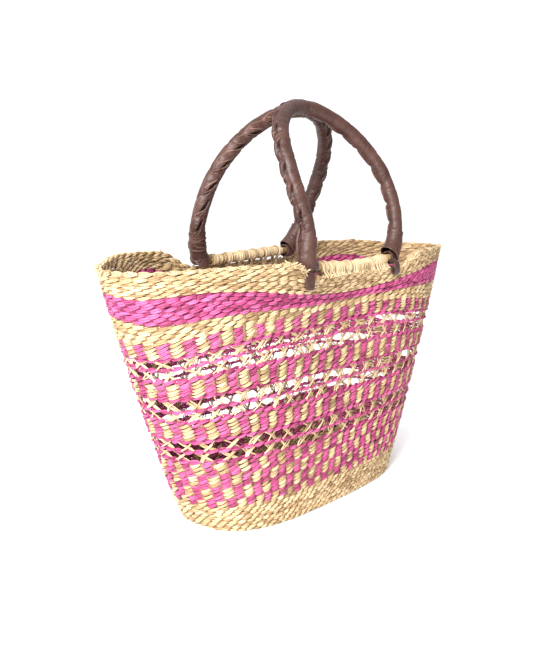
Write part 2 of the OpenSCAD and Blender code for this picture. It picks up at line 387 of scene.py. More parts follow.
# ---- twined rows ----
def twine(piles, middle, out, up, stitches, parity, pitch, weight=None, slant=FLAT_SLANT):
    """Two strands twisted round the stakes, along the closed line `middle`.

    piles are the two strands' piles; out and up are the wall's directions at each point. Parity 1 swaps
    the strands and parity 0.5 sets the row half a stitch on. Weight thins the row where it runs out."""
    n = len(middle)
    k = np.arange(n) / (n // stitches) + wobble(n, ROW_DRIFT, 40) + parity % 1
    weight = np.ones(n) if weight is None else weight
    arc = path_length(middle)
    cell = np.floor(k + 0.5).astype(int) % stitches
    next_cell = (cell + 1) % stitches
    share = smooth((k + 0.5 - np.floor(k + 0.5) - 0.75) / 0.25)

    def each(kind):
        """Random amounts, one for each stitch, changing smoothly."""
        v = rng.normal(0, JITTER[kind], stitches)
        return v[cell] * (1 - share) + v[next_cell] * share

    for j, pile in enumerate(piles):
        phi = k + j + parity // 1
        cos, sin = np.cos(np.pi * phi), np.sin(np.pi * phi)
        over = np.abs(cos)
        r = TWIST_RADIUS * spow(cos, 0.75) + each("depth")
        v = slant * pitch * sin + each("height") * pitch
        swell = DIVE_HEIGHT + (1 - DIVE_HEIGHT) * over
        hb = pitch * (0.505 - 0.17 * slant) * swell * (1 + each("width"))
        ha = STRAND_HALF_THICK * (0.55 + 0.45 * over) * (1 + each("thickness"))
        r, ha = r * (0.35 + 0.65 * weight), ha * (0.3 + 0.7 * weight)
        tone = np.clip(0.5 + each("tone"), 0, 1)
        lower = 0.5 + each("split")
        for part, way in ((lower, -1), (1 - lower, 1)):
            lift = each("lift") - (0.12 * over if way > 0 else 0)
            centre = middle + out * (r + lift)[:, None] + up * (v + way * (1 - part) * hb)[:, None]
            a, b = tube_frame(centre, out, True)
            along = arc + rng.random() * 900
            shade = np.clip(tone + each("fibre_tone"), 0.12, 1)
            # painted shade where the strand dives between the stakes
            shade = shade * (DIVE_PAINTED_SHADE + (1 - DIVE_PAINTED_SHADE) * smooth(over / 0.5))
            wide = hb * part * 1.12
            pile.add(*tube(centre, a, b, ha, wide, SIDES, True, along, shade, EDGE_SHADE, STRAND_SQUARE))


def wall_frame(u, t):
    """Points, outward and upward directions on the wall's middle surface."""
    p = wall(u, t, -WALL / 2)
    along = course(p)
    up = unit(wall(u, t + 0.01, -WALL / 2) - wall(u, t - 0.01, -WALL / 2))
    out = unit(np.cross(along, up))
    return p, out, unit(np.cross(out, along))


def wall_rows(bottom, top, rows, stitches, phase=0.0, fill=ROW_FILL, slant=FLAT_SLANT):
    """Twined rows between two level functions. Each row is (piles, parity, share, active):
    share is its part of the height and active(u) fades it out where the band narrows."""
    front_left = np.array([4.2])
    u = stake_angles(stitches, ROW_SAMPLES, float((bottom(front_left) + top(front_left))[0] / 2), phase)
    lo, hi = bottom(u), top(u)
    shares = np.stack([share * active(u) for _, _, share, active in rows])
    edges = np.concatenate([np.zeros((1, len(u))), np.cumsum(shares, 0)]) / shares.sum(0)
    for i, (piles, parity, _, active) in enumerate(rows):
        t = lo + (edges[i] + edges[i + 1]) / 2 * (hi - lo)
        pitch = np.maximum((edges[i + 1] - edges[i]) * (hi - lo) * full_z(u), MIN_PITCH)
        t = t + wobble(len(u), ROW_WANDER, 50) / BODY_HEIGHT
        p, out, up = wall_frame(u, t)
        twine(piles, p, out, up, stitches, parity, pitch * fill, active(u), slant)


def stakes(pile, bottom, top, stitches, phase=0.0):
    """The upright stakes inside a woven band. They get a low tone, painted shade, so the gaps between the
    strands look dark.
    """
    for angle in stake_angles(stitches, 1, 0.5, phase):
        u = np.full(5, angle)
        lo, hi = bottom(u)[0], top(u)[0]
        if hi <= lo:
            continue
        t = np.linspace(float(lo), float(hi), 5)
        p = wall(u, t, -WALL / 2)
        a, b = tube_frame(p, outward(u, t))
        pile.add(*tube(p, a, b, STAKE_HALF_THICK, STAKE_HALF_WIDE, 6, tone=STAKE_PAINTED_SHADE))


def band(pile, bottom, top, rows, stitches, phase=0.0, slant=FLAT_SLANT):
    """Twined rows with the stakes inside them. The stakes go to pile."""
    wall_rows(bottom, top, rows, stitches, phase, slant=slant)
    stakes(pile, bottom, top, stitches, phase)


def fades(first, last):
    """Active at the ends of the basket, and fading out where the arching goes from first to last."""
    return lambda u: 1 - 0.97 * smooth((arching(u) - first) / (last - first))


# ---- materials ----
class Nodes:
    """Short way of writing the node tree of a material or of the world."""

    def __init__(self, owner, shader="Principled BSDF"):
        self.owner = owner
        owner.use_nodes = True
        self.tree = owner.node_tree
        self.shader = self.tree.nodes[shader]

    def fill(self, node, inputs):
        """Link or set a node's inputs by name or number."""
        for key, value in inputs.items():
            if isinstance(value, bpy.types.NodeSocket):
                self.tree.links.new(value, node.inputs[key])
            else:
                node.inputs[key].default_value = value

    def new(self, kind, inputs, **settings):
        node = self.tree.nodes.new("ShaderNode" + kind)
        for key, value in settings.items():
            setattr(node, key, value)
        self.fill(node, inputs)
        return node

    def attribute(self, name, output):
        return self.new("Attribute", {}, attribute_name=name).outputs[output]

    def place(self, kind="Object"):
        return self.new("TexCoord", {}).outputs[kind]

    def times(self, a, b):
        return self.new("Math", {0: a, 1: b}, operation="MULTIPLY").outputs[0]

    def noise(self, vector, scale, detail=2.0, rough=0.5):
        inputs = {"Vector": vector, "Scale": scale, "Detail": detail, "Roughness": rough}
        return self.new("TexNoise", inputs).outputs["Fac"]

    def stretch(self, vector, scale, shift=(0, 0, 0)):
        return self.new("Mapping", {"Vector": vector, "Scale": scale, "Location": shift}).outputs[0]

    def mix(self, factor, a, b):
        """Colour a changed towards b by factor."""
        a, b = (c if isinstance(c, bpy.types.NodeSocket) else (*c, 1.0) for c in (a, b))
        return self.new("Mix", {0: factor, 6: a, 7: b}, data_type="RGBA").outputs[2]

    def span(self, value, lo, hi, to_lo=0.0, to_hi=1.0):
        inputs = {"Value": value, "From Min": lo, "From Max": hi, "To Min": to_lo, "To Max": to_hi}
        return self.new("MapRange", inputs).outputs[0]

    def bump(self, height, strength, distance, normal=None):
        inputs = {"Height": height, "Strength": strength, "Distance": distance}
        if normal is not None:
            inputs["Normal"] = normal
        return self.new("Bump", inputs).outputs[0]


def grass_material(name, light, base, dark, streak, roughness=0.5):
    """Dried grass: fibres along each strand, a tone for each stitch with painted shade where the tone is low,
    and darker patches.
    """
    m = Nodes(bpy.data.materials.new(name))
    strand = m.attribute("strand", "Vector")
    tone = m.attribute("tone", "Fac")
    place = m.place()
    fine = m.noise(m.stretch(strand, (0.05, 3.2, 3.2)), 1.0, 3.0, 0.6)
    broad = m.noise(m.stretch(strand, (0.06, 0.9, 0.9), (7, 3, 1)), 1.0, 2.0, 0.5)
    patch = m.noise(place, 22.0, 2.0, 0.5)
    # tone is a random tone for each stitch, lowered by painted shade where strands dive, along their edges
    # and on the stakes
    colour = m.mix(m.span(tone, 0.30, 0.95), base, light)
    colour = m.mix(m.span(tone, 0.0, 0.36, 0.85, 0.0), colour, dark)
    colour = m.mix(m.times(m.span(fine, 0.45, 0.75), streak), colour, dark)
    colour = m.mix(m.times(m.span(broad, 0.52, 0.8), streak * 0.8), colour, dark)
    colour = m.mix(m.times(m.span(patch, 0.5, 0.75), 0.18), colour, dark)
    rough = m.span(fine, 0.3, 0.7, roughness - 0.1, roughness + 0.12)
    relief = m.bump(broad, 0.4, 0.0010, m.bump(fine, 0.5, 0.0006))
    m.fill(m.shader, {"Base Color": colour, "Roughness": rough, "Specular IOR Level": 0.42, "Normal": relief})
    return m.owner


def leather_material(name):
    """Dark brown hide: fine grain, soft creases, a paler bloom where it is worn, and painted shade where the
    tone is low.
    """
    m = Nodes(bpy.data.materials.new(name))
    place = m.place()
    strand = m.attribute("strand", "Vector")
    tone = m.attribute("tone", "Fac")
    cells = m.new("TexVoronoi", {"Vector": place, "Scale": 900.0}, feature="F1").outputs["Distance"]
    grain = m.noise(place, 420.0, 4.0, 0.6)
    cloud = m.noise(place, 60.0, 4.0, 0.6)
    folds = m.noise(m.stretch(strand, (0.35, 0.12, 0.12)), 1.0, 3.0, 0.55)
    colour = m.mix(m.span(cloud, 0.35, 0.7), (0.036, 0.0135, 0.010), (0.066, 0.028, 0.021))
    colour = m.mix(m.times(m.span(grain, 0.5, 0.75), 0.35), colour, (0.090, 0.044, 0.034))
    colour = m.mix(m.span(tone, 0.55, 1.0, 0.0, 0.75), colour, (0.24, 0.135, 0.10))
    # painted shade where the tone is low: in the slots and inside the boots
    colour = m.mix(m.span(tone, 0.0, 0.45, 0.9, 0.0), colour, (0.012, 0.006, 0.005))
    rough = m.span(cloud, 0.3, 0.7, 0.38, 0.52)
    pores = m.bump(grain, 0.35, 0.0004, m.bump(cells, 0.25, 0.0003))
    relief = m.bump(folds, 0.55, 0.0016, pores)
    m.fill(m.shader, {"Base Color": colour, "Roughness": rough, "Specular IOR Level": 0.32, "Normal": relief})
    return m.owner


def floor_material(name):
    m = Nodes(bpy.data.materials.new(name))
    colour = m.mix(m.noise(m.place(), 3.0), (0.93, 0.93, 0.93), (0.95, 0.95, 0.95))
    m.fill(m.shader, {"Base Color": colour, "Roughness": 0.8})
    return m.owner


NATURAL = grass_material("natural_grass", light=(0.70, 0.545, 0.335), base=(0.53, 0.365, 0.190),
                         dark=(0.17, 0.090, 0.034), streak=0.6)
PINK = grass_material("pink_grass", light=(0.61, 0.125, 0.295), base=(0.43, 0.053, 0.170),
                      dark=(0.13, 0.009, 0.042), streak=0.65)
STRAW = grass_material("dry_straw", light=(0.50, 0.36, 0.20), base=(0.38, 0.25, 0.12),
                       dark=(0.17, 0.09, 0.035), streak=0.5, roughness=0.55)
WOUND = grass_material("wound_straw", light=(0.66, 0.52, 0.33), base=(0.47, 0.335, 0.180),
                       dark=(0.17, 0.10, 0.045), streak=0.6, roughness=0.55)
LEATHER = leather_material("brown_leather")


# ---- the woven bands ----
LEVELS = {
    "foot": (0.112, 0.120), "check": (0.298, 0.300),
    "lace1a": (0.308, 0.312), "lace1b": (0.337, 0.343),
    "lace2a": (0.351, 0.358), "lace2b": (0.378, 0.395),
    "col1a": (0.394, 0.414), "col1b": (0.455, 0.479),
    "lace3a": (0.470, 0.497), "lace3b": (0.497, 0.537),
    "lace4a": (0.509, 0.549), "lace4b": (0.543, 0.589),
    "col2a": (0.556, 0.601), "col2b": (0.607, 0.675),
    "lace5a": (0.626, 0.689), "lace5b": (0.655, 0.733),
    "lace6a": (0.667, 0.748), "lace6b": (0.690, 0.781),
    "col3a": (0.702, 0.797), "col3b": (0.755, 0.845),
    "shoulder": (0.813, 0.866), "pink": (0.903, 0.886),
}
# bumps of a level: each one's angle and width in degrees, and its height
RISES = {
    "pink": ((172, 18, 0.020), (235, 35, 0.016), (300, 30, 0.030), (340, 20, 0.034),
             (52, 20, 0.030), (8, 10, -0.022), (122, 12, 0.053)),
    "shoulder": ((172, 17, 0.026), (300, 34, 0.018), (340, 20, 0.008)),
}
# below, above, and stitches of each single pink row
DIVIDERS = (("check", "lace1a", 70), ("lace1b", "lace2a", 76), ("lace2b", "col1a", 82),
            ("col1b", "lace3a", 82), ("lace3b", "lace4a", 84), ("lace4b", "col2a", 86),
            ("col2b", "lace5a", 86), ("lace5b", "lace6a", 86), ("lace6b", "col3a", 88))
# rows, stitches and phase of each column band
COLUMNS = ((5, 82, 0.35), (5, 86, 0.2), (4, 88, 0.3))
# crosses and phase of each lace band
LACE = ((38, 0.1), (38, 0.45), (42, 0.2), (42, 0.6), (43, 0.3), (43, 0.0))


def at(name):
    return lambda u: level(LEVELS[name], u, RISES.get(name, ()))


def floor_level(u):
    return FLOOR_GAP / full_z(u)


def under_border(u):
    return rim_level(u) - (BORDER_HEIGHT + 0.2) / full_z(u)


def one(pile, active=np.ones_like):
    """A row whose two strands have the same colour."""
    return ([pile, pile], 0, 1.0, active)


def staggered(rows):
    """The same rows, each half a stitch on from the one below."""
    return [(piles, i * 0.5, share, active) for i, (piles, _, share, active) in enumerate(rows)]


def make_foot():
    nat = Pile()
    band(nat, floor_level, at("foot"), staggered([one(nat)] * 9), 84)
    nat.make("foot_weave", NATURAL, "natural_grass", ["foot_band"])


def make_checker():
    """Four groups of rows: the colours swap from group to group, with a low pink row between them."""
    nat, pink = Pile(), Pile()
    rows = []
    for group, count in enumerate((2, 3, 3, 3)):
        if group:
            rows.append(([pink, pink], 0, 0.5, np.ones_like))
        rows += [([pink, nat], group % 2, 1.0, np.ones_like)] * count
    band(nat, at("foot"), at("check"), rows, 76, 0.3, MIXED_SLANT)
    nat.make("checker_natural_strands", NATURAL, "mixed_grass", ["checker_band"])
    pink.make("checker_pink_strands", PINK, "pink_grass")


def make_dividers():
    """Single pink rows beside the lace."""
    for i, (below, above, stitches) in enumerate(DIVIDERS, 1):
        pink = Pile()
        wall_rows(at(below), at(above), [one(pink)], stitches, 0.0, SINGLE_FILL, SINGLE_SLANT)
        pink.make(f"divider_weave_{i}", PINK, "pink_grass", [f"divider_row_{i}"])


def make_columns():
    """Bands of one pink and one natural strand, which show as columns."""
    for i, (count, stitches, phase) in enumerate(COLUMNS, 1):
        nat, pink = Pile(), Pile()
        rows = [([pink, nat], 0, 1.0, np.ones_like)] * count
        band(nat, at(f"col{i}a"), at(f"col{i}b"), rows, stitches, phase, MIXED_SLANT)
        nat.make(f"column_{i}_natural_strands", NATURAL, "mixed_grass", [f"column_band_{i}"])
        pink.make(f"column_{i}_pink_strands", PINK, "pink_grass")


def make_upper_bands():
    """Shoulder, pink and rim bands, where some rows run out towards the middle."""
    nat = Pile()
    rows = [one(nat), one(nat, fades(0.75, 0.95)), one(nat, fades(0.45, 0.7)), one(nat, fades(0.2, 0.45))]
    band(nat, at("col3b"), at("shoulder"), staggered(rows), 88, 0.3)
    nat.make("shoulder_weave", NATURAL, "natural_grass", ["shoulder_band"])

    pink = Pile()
    short = [one(pink, fades(*span)) for span in ((0.25, 0.5), (0.45, 0.7), (0.6, 0.85), (0.8, 0.98))]
    band(pink, at("shoulder"), at("pink"), staggered([one(pink)] + short + [one(pink)]), 88, 0.1)
    pink.make("pink_weave", PINK, "pink_grass", ["pink_band"])

    nat = Pile()
    rows = [one(nat)] * 3 + [one(nat, fades(0.25, 0.6)), one(nat), one(nat, fades(0.5, 0.85)), one(nat)]
    band(nat, at("pink"), under_border, staggered(rows), 90)
    nat.make("rim_weave", NATURAL, "natural_grass", ["rim_band"])


def make_lace():
    """Crossed pairs of stakes with open holes between them."""
    per_cross = 16
    for i, (crosses, phase) in enumerate(LACE, 1):
        pile = Pile()
        u = stake_angles(crosses * 2, per_cross // 2, LEVELS[f"lace{i}a"][0], phase)
        for c in range(crosses):
            centre = (c + 0.5) * per_cross + vary(1.2)
            spread = per_cross / 2 * rng.uniform(0.65, 1.0)
            for side in (-1, 1):
                for stem in range(rng.choice([1, 2, 2, 3])):
                    lace_stem(pile, at(f"lace{i}a"), at(f"lace{i}b"), u, centre, spread, side, stem)
        pile.make(f"lace_stems_{i}", NATURAL, "natural_grass", [f"lace_band_{i}"])


def lace_stem(pile, bottom, top, round_u, centre, spread, side, stem):
    """One stem that leans to its side. centre and spread are counted in the samples of round_u."""
    s = np.linspace(-0.18, 1.18, 13)
    cross_at = 0.55 + vary(0.05)
    x = centre + side * spread * (s - cross_at) + stem * 1.3 * side + vary(0.35)
    x = x + vary(1.0) * np.sin(np.pi * s)
    n = len(round_u)
    turn = np.unwrap(round_u)
    u = np.interp(x % n, np.arange(n + 1), np.append(turn, turn[0] + 2 * np.pi))
    t = bottom(u) + s * (top(u) - bottom(u))
    depth = side * 0.75 * np.cos(np.pi * np.clip(s, 0, 1) * 0.7) + vary(0.2)
    out = outward(u, t)
    p = wall(u, t, -WALL / 2) + out * depth[:, None]
    a, b = tube_frame(p, out)
    wide = rng.uniform(0.5, 0.85)
    pile.add(*tube(p, a, b, 0.5, wide, tone=np.clip(rng.normal(0.6, 0.22), 0, 1)))


def make_base():
    """Twined ovals, one inside the other, that fill the bottom."""
    pile = Pile()
    half = BASE_WIDTH / 2
    inset = WALL / 2 + 1.0
    fine = np.linspace(0, 2 * np.pi, 2001)
    while half - inset > 1.0:
        a, b = BASE_LENGTH / 2 - inset, half - inset
        square = 2 + (BASE_SQUARE - 2) * (b / half)
        ring = np.stack([a * spow(np.cos(fine), 2 / square), b * spow(np.sin(fine), 2 / square)], -1)
        arc = path_length(ring)
        stitches = max(8, int(round(arc[-1] / BASE_STITCH / 2)) * 2)
        count = stitches * ROW_SAMPLES
        s = np.arange(count) / count * arc[-1]
        x, y = np.interp(s, arc, ring[:, 0]), np.interp(s, arc, ring[:, 1])
        p = np.stack([x, y, np.full(count, BASE_THICK / 2 + 1.0)], -1)
        pitch = np.full(count, BASE_ROW * ROW_FILL)
        twine([pile, pile], p, DOWN, np.cross(DOWN, course(p)), stitches, 0, pitch)
        inset += BASE_ROW
    pile.make("base_weave", NATURAL, "natural_grass", ["base_panel"])


def make_border():
    """The rim's last rows, with the turned-down stake ends looped over them."""
    pile = Pile()
    stitches = 92
    u = stake_angles(stitches, ROW_SAMPLES, RIM_SHARE)
    for drop, parity, height in ((4.0, 0, 3.3), (1.7, 0.5, 2.6)):
        t = rim_level(u) - drop / full_z(u) + wobble(len(u), 0.25, 12) / BODY_HEIGHT
        p, out, up = wall_frame(u, t)
        twine([pile, pile], p, out, up, stitches, parity, np.full(len(u), height))
    for angle in stake_angles(RIM_LOOPS, 1, RIM_SHARE):
        rim_loop(pile, angle + vary(0.25) * 2 * np.pi / RIM_LOOPS)
    make_frays(pile)
    pile.make("rim_edge", NATURAL, "natural_grass", ["rim_border"])


def rim_loop(pile, angle):
    """One stake end, bent over the rim from the inside to the outside."""
    samples = 9
    size = rng.uniform(0.75, 1.25)
    lean = rng.uniform(0.8, 2.6)
    u = np.full(samples, angle)
    base = wall(u, rim_level(u), -WALL / 2)
    along = unit(wall(u + 0.01, rim_level(u), -WALL / 2) - base)
    across = unit(wall(u, rim_level(u), 0) - base)
    turn = np.linspace(0.05, 0.95, samples) * np.pi
    forward = lean * np.linspace(-0.5, 1.0, samples) * 2.0
    q = base + along * forward[:, None] - across * (2.6 * np.cos(turn))[:, None]
    q[:, 2] += 1.9 * np.sin(turn) * size - 2.6
    q[:, 2] -= FOOT_DIP * (abs(abs(q[4, 0]) - FOOT_X) < FOOT_DIP_HALF)
    strip(pile, q, unit(q - base + np.array([0, 0, 4.0])), 0.5, rng.uniform(0.6, 1.0))


def tuft(pile, angle, count, spread, reach):
    """Short cut straw ends that stick out of the rim round one angle."""
    for _ in range(count):
        u = np.array([angle + vary(spread)])
        base = wall(u, rim_level(u) - rng.uniform(0, 3.0) / full_z(u), rng.uniform(-3.5, 0.6))[0]
        way = np.array([vary(0.7), vary(0.5), rng.uniform(0.1, 1.0)])
        across = wall(u, rim_level(u), 1.0)[0] - wall(u, rim_level(u), 0.0)[0]
        way = unit(way + across * rng.uniform(0.0, 0.9)) * rng.uniform(0.5, 1.0) * reach
        bend = np.array([vary(0.5), vary(0.5), -0.4]) * reach * 0.25
        points = [base - way * 0.3, base + way * 0.5, base + way + bend]
        half_wide = rng.uniform(0.35, 0.6)
        strip(pile, points, (0.3, 0.9, 0.3), 0.28, half_wide, tone=rng.uniform(0.4, 1), samples=8)


def make_frays(pile):
    """A few frays all round the rim, and tufts where its long sides start to rise."""
    for angle in stake_angles(64, 1, RIM_SHARE):
        tuft(pile, angle + vary(0.04), 1, 0.02, rng.uniform(2.0, 4.2))
    corner = np.arccos((TUFT_X / (RIM_LENGTH / 2)) ** (RIM_SQUARE / 2))
    tuft(pile, np.pi + corner, 46, 0.026, 6.0)
    tuft(pile, 2 * np.pi - corner, 12, 0.03, 4.5)
    tuft(pile, np.pi - corner, 10, 0.03, 4.5)


make_foot()
make_checker()
make_dividers()
make_columns()
make_upper_bands()
make_lace()
make_base()
make_border()


# ---- bars ----
BARS = {
    "front": {"side": -1, "radius": 5.3, "sag": 3.8, "drop": 0.0, "tilt": 0.0},
    "back": {"side": 1, "radius": 4.8, "sag": 0.0, "drop": 1.2, "tilt": 0.035},
}
SAG_HALF = 64.0
STRAW_PITCH = 1.25
TIE_COUNT = 6
STRAWS_PER_TIE = 4


def side_point(side, x, inward, up):
    """World point of a place measured from the middle of a bar."""
    x, inward, up = np.broadcast_arrays(np.asarray(x, float), inward, up)
    return np.stack([x, side * (BAR_Y - inward), BAR_Z + up], -1)


def bar_path(side, x0, points):
    """World points of (across, inward, up) places measured from a bar."""
    p = np.array(points, float)
    return side_point(side, x0 + p[:, 0], p[:, 1], p[:, 2])


def bar_rise(bar, x):
    """How far a bar lies above its frame place: it sags or tilts."""
    curve = 1 - np.clip(np.abs(x) / SAG_HALF, 0, 1) ** 2
    return bar["tilt"] * x - bar["drop"] - bar["sag"] * curve


def rim_reach(x):
    """How far outward from the bar the middle of the rim's wall is."""
    u = 2 * np.pi - np.arccos((abs(x) / (RIM_LENGTH / 2)) ** (RIM_SQUARE / 2))
    y = wall(np.array([u]), np.array([RIM_MID_Z / full_z(u)]))[0, 1]
    return -y - BAR_Y - WALL / 2


def make_cane(name, bar):
    pile = Pile()
    x = np.linspace(-CANE_HALF, CANE_HALF, 60)
    p = side_point(bar["side"], x, 0.0, bar_rise(bar, x) * (1 - smooth((np.abs(x) - 48) / 8)))
    a, b = tube_frame(p, -DOWN)
    r = np.full(60, BAR_RADIUS)
    r[0] = r[-1] = 0.6
    r[1] = r[-2] = BAR_RADIUS * 0.9
    pile.add(*tube(p, a, b, r, r, 20, along=x + 200))
    pile.make(f"{name}_cane", STRAW, "cane", [f"{name}_bar_cane"])


def wind(pile, bar, radius, pitch, half_wide):
    """Straw wound round a bar from end to end."""
    turns = 2 * WOUND_HALF / pitch
    n = int(turns * 18)
    w = np.linspace(0, turns * 2 * np.pi, n)
    x = w / (2 * np.pi) * pitch - WOUND_HALF + wobble(n, 0.14, 14, False)
    r = radius + wobble(n, 0.16, 11, False)
    up = r * np.sin(w) + bar_rise(bar, x)
    centre = side_point(bar["side"], x, r * np.cos(w), up)
    out = unit(side_point(bar["side"], x, (r + 1) * np.cos(w), up + np.sin(w)) - centre)
    a, b = tube_frame(centre, out)
    tone = np.clip(0.5 + wobble(n, 0.3, 16, False), 0, 1)
    thick = 0.5 * (1 + wobble(n, 0.12, 9, False))
    pile.add(*tube(centre, a, b, thick, half_wide, 6, tone=tone))


def make_winding(name, bar):
    """Two layers of straw: close turns below and wider ones on top."""
    pile = Pile()
    wind(pile, bar, bar["radius"] - 1.1, STRAW_PITCH, STRAW_PITCH * 0.46)
    wind(pile, bar, bar["radius"] - 0.5, STRAW_PITCH * 1.7, STRAW_PITCH * 0.42)
    pile.make(f"{name}_winding", WOUND, "straw_winding", [f"{name}_bar_winding"])


def tie_straw(pile, bar, x0, dx):
    """A straw that goes round the bar and down over both faces of the rim."""
    side, sag, reach = bar["side"], bar_rise(bar, x0), rim_reach(x0)
    w = np.linspace(0.05, 0.95, 30) * 2 * np.pi - np.pi / 2
    r = bar["radius"] + 0.35 + vary(0.12)
    ring = side_point(side, x0 + dx + 0.3 * np.sin(w), r * np.cos(w), r * np.sin(w) + sag)
    outside = side_point(side, x0 + dx, np.array([-reach, -reach * 0.6]), np.array([-13.0, -7.5]))
    inside = side_point(side, x0 + dx, np.array([-0.5, -0.8]), np.array([-6.5, -12.5]))
    points = np.concatenate([outside, ring[::-1][2:-2], inside])
    strip(pile, points, unit(points - side_point(side, points[:, 0], 0.0, sag - 3.0)), 0.45, 0.62, samples=48)


def apron_straw(pile, bar, x0):
    """A straw that hangs from the bar over the outside of the rim."""
    out = bar["radius"] + 0.1 + vary(0.15)
    slip = vary(0.8)
    sag = bar_rise(bar, x0)
    path = [(0, -out * 0.9, 2.6 + sag), (slip * 0.3, -out, sag - 0.5), (slip * 0.7, 0.3 - out, sag - 3),
            (slip, -rim_reach(x0) - 3.0, -rng.uniform(9.0, 11.4))]
    points = bar_path(bar["side"], x0, path)
    strip(pile, points, (0, bar["side"], -0.1), 0.4, rng.uniform(0.45, 0.65))


def make_ties(name, bar):
    pile = Pile()
    for x0 in np.linspace(-TIE_HALF, TIE_HALF, TIE_COUNT):
        for j in range(STRAWS_PER_TIE):
            tie_straw(pile, bar, x0, (j - (STRAWS_PER_TIE - 1) / 2) * 1.1 + vary(0.2))
    if name == "front":
        for x0 in np.arange(-WOUND_HALF, WOUND_HALF, 1.45):
            apron_straw(pile, bar, x0)
    pile.make(f"{name}_lashings", WOUND, "straw_winding", [f"{name}_bar_ties"])


# ---- handles ----
# An arch of radius hypot(FOOT_X, rise), stretched upwards. Right is +X. lean and drift move its top inwards
# and to the right. seam is the seam's angle in degrees at the shares seam_at of the length. bend moves the
# right and then the left leg to the right, at the heights BEND_AT. boots are the right and the left boot.
HANDLES = {
    "front": {
        "side": -1, "rise": 48.0, "stretch": 1.02, "lean": (-3.55, 52.9), "drift": (3.0, -11.7),
        "seam_at": (0.0, 0.35, 0.46, 0.56, 0.8, 1.0), "seam": (72, 78, 74, 28, 4, -12),
        "bend": ((0, -1.3, -2.5, -3.5, -4, 0), (-2.5, 4.0, 13.0, 14.0, 12.5, 0)),
        "boots": ({"flare": 4.3, "inner": 4.8, "outer": -5.0},
                  {"flare": 0.5, "inner": -1.0, "outer": -3.0}),
    },
    "back": {
        "side": 1, "rise": 52.0, "stretch": 0.97, "lean": (20.6, 28.9), "drift": (13.0, 5.0),
        "seam_at": (0.0, 0.3, 0.5, 0.75, 0.9, 1.0), "seam": (-70, -95, -125, -82, -55, -40),
        "bend": ((0, -1.3, -2.5, -3.5, -4, 0), (-1.0, 1.0, 2.3, 3.2, 4.0, 0)),
        "boots": ({"flare": 2.6, "inner": 4.0, "outer": -3.0},
                  {"flare": 1.0, "inner": -2.0, "outer": -3.0, "inside": 8.0}),
    },
}
BEND_AT = (0.0, 12.0, 24.0, 36.0, 50.0, 110.0)
CREASE_COUNT = 190
THONG = {"taper": 1, "sides": 8, "square": 3.0}
STRAP = {"taper": 1, "sides": 16, "tone": 0.5, "square": 5.0}
BOOT_TOP = 27.0


def handle_line(shape, q):
    """Centre line of a handle, from its right foot at q = 0 to its left foot at q = 1."""
    radius = math.hypot(FOOT_X, shape["rise"])
    start = -math.atan2(shape["rise"], FOOT_X)
    phi = start + q * (math.pi - 2 * start)
    h = shape["rise"] + radius * np.sin(phi)
    above = np.maximum(h, 0)
    s = above / (shape["rise"] + radius)
    x = np.sign(0.5 - q) * np.sqrt(np.maximum(radius ** 2 - (above - shape["rise"]) ** 2, 0))
    x = x + shape["drift"][0] * s + shape["drift"][1] * s * s
    bends = [np.interp(h + near, BEND_AT, bend) for bend in shape["bend"] for near in (-5, 0, 5)]
    x = x + np.where(q < 0.5, sum(bends[:3]), sum(bends[3:])) / 3
    inward = shape["lean"][0] * s + shape["lean"][1] * s * s
    return np.stack([x, shape["side"] * (BAR_Y - inward), BAR_Z + h * shape["stretch"]], -1)


def handle_frame(shape, q):
    """Centre, the direction away from the arch's middle, and the direction to its back."""
    step = 0.002
    t = unit(handle_line(shape, q + step) - handle_line(shape, q - step))
    a = unit(np.cross(np.array([0.0, 1.0, 0.0]), t))
    return handle_line(shape, q), a, np.cross(t, a)


def off_centre(shape, q, p):
    """Directions from the handle's centre line to points p beside it."""
    return unit(p - handle_line(shape, q))


def handle_grid(shape, q, theta, r):
    """Points at angle theta and distance r from a handle's centre line."""
    centre, a, b = handle_frame(shape, q)
    return centre + r[..., None] * (np.cos(theta)[..., None] * a + np.sin(theta)[..., None] * b)


def seam_angle(shape, q):
    return np.radians(np.interp(q, shape["seam_at"], shape["seam"]))


def flap_width(mm):
    """Width in radians of the leather's lap beside the seam; it is scalloped from slot to slot."""
    return 0.95 + 0.30 * np.abs(np.sin(np.pi * mm / SLOT_PITCH))


def wrap_relief(shape, q, theta, slots, length, creases):
    """Distance of the leather from the centre line, and its tone: pale at the lap's edge, with painted shade
    in the slots.
    """
    mm = q * length
    d = signed(theta - seam_angle(shape, q))
    wide = flap_width(mm)
    lift = 0.55 + 0.95 * np.sin(np.pi * mm / SLOT_PITCH) ** 2
    lift = lift * np.where((q < 0.5) & (shape["side"] < 0), 0.5, 1.0)
    r = HAND_RADIUS + lift * smooth((d + 0.12) / 0.14) * (1 - smooth((d - wide) / 0.09))
    r = r - 0.5 * bell(d, 0.11)
    tone = 0.5 + 0.42 * bell(d - wide + 0.02, 0.07)
    for c, tilt, size in slots:
        u = mm - c
        v = HAND_RADIUS * d - tilt * u
        mask = smooth((1.5 - np.hypot(u / (5.6 * size), v / (1.25 * size))) / 0.75)
        r = r - 2.6 * mask
        # painted shade in the slot
        tone = tone * (1 - mask)
        u = mm - c - SLOT_PITCH / 2
        r = r - 1.1 * bell(u, 1.9) * bell(d - 0.8, 0.8)
    for c, angle, deep, wide_mm, spread in creases:
        e = signed(theta - angle)
        r = r - deep * bell(mm - c - 2.2 * e, wide_mm) * bell(e, spread)
    return r, tone


def turning(pile, name, what, node, material=LEATHER, slot="leather"):
    """Make a piece that turns with its handle."""
    pile.make(f"{name}_{what}", material, slot, [f"{name}_handle_{node}"], f"{name}_handle")


